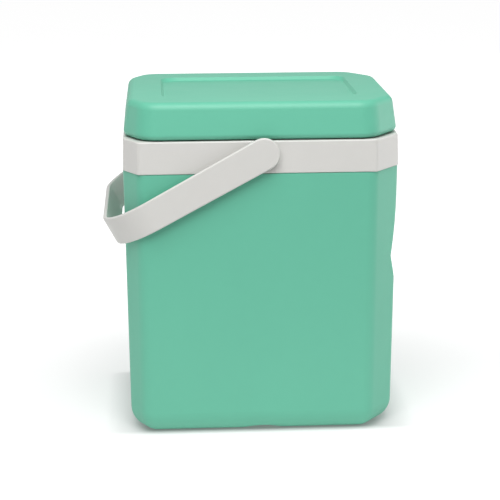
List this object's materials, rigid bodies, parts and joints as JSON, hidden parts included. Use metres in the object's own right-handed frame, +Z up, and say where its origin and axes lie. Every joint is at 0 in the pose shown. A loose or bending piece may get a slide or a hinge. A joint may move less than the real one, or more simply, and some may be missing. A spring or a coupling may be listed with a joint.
{
  "type": "insulated picnic cooler",
  "caption": "Small insulated cooler box with tapered shell, collar band, lift-off plug lid and a swinging bail handle pivoted at front and back.",
  "frame": {"origin": "centre of the base, on the surface that the cooler stands on", "axes": "+Z up, +X to the right, +Y to the back; the bail hangs to -X at rest and pivots about a line along Y"},
  "size_m": [0.3015, 0.245, 0.346],
  "materials": {
    "mint_shell": "fine satin moulded polypropylene, mint green",
    "off_white": "satin moulded polypropylene, off-white",
    "liner_white": "smooth food-safe polypropylene, white",
    "foam": "rigid polyurethane foam, pale yellow"
  },
  "bodies": {
    "cooler_body": {"outer_shell": "mint_shell", "inner_liner": "liner_white", "collar": "off_white", "body_insulation": "foam", "base_filler_plug": "off_white", "front_pivot_socket": "off_white", "rear_pivot_socket": "off_white"},
    "bail": {"bail_handle": "off_white"},
    "lid": {"lid_cover": "mint_shell", "lid_inner_panel": "liner_white", "lid_insulation": "foam", "lid_filler_plug": "liner_white"}
  },
  "joints": [
    {"name": "bail_swing", "type": "hinge", "parent": "cooler_body", "child": "bail", "pos_m": [0, 0, 0.296], "axis": [0, 1, 0], "range_deg": [0, 237]},
    {"name": "lid_lift", "type": "slide", "parent": "cooler_body", "child": "lid", "axis": [0, 0, 1], "range_m": [0, 0.15]}
  ]
}
